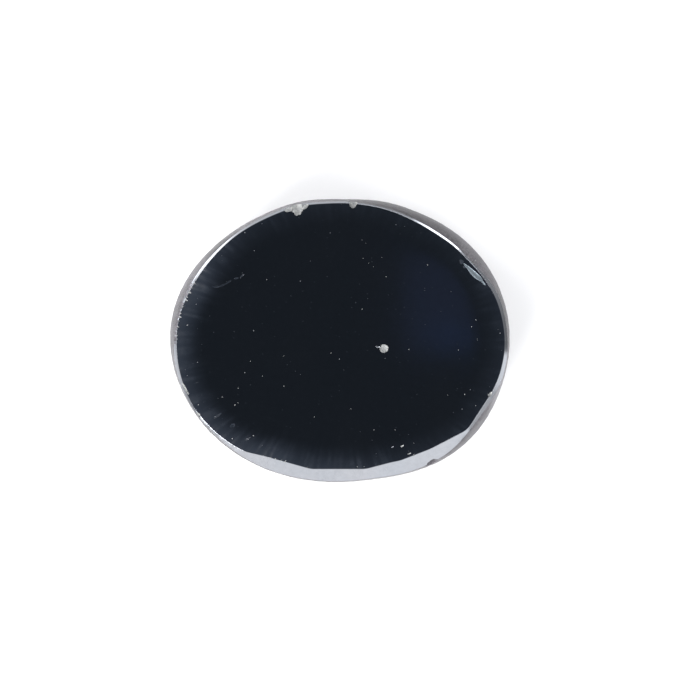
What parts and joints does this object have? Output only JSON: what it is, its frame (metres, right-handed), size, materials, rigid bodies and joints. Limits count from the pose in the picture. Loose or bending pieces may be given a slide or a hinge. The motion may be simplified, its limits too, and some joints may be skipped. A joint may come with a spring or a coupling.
{
  "type": "polished hematite stone",
  "caption": "Flat-topped oval hematite, mirror-polished near-black steel grey, with a hand-ground bevel, worn edge chips and a flat base to rest on.",
  "frame": {"origin": "middle of the flat base, under the centre of the outline's bounding box", "axes": "+X along the stone's length, +Y across its width, +Z out of the polished face"},
  "size_m": [0.012, 0.01, 0.003],
  "materials": {
    "hematite": "polished"
  },
  "bodies": {
    "root": {"hematite": "hematite"}
  },
  "joints": []
}
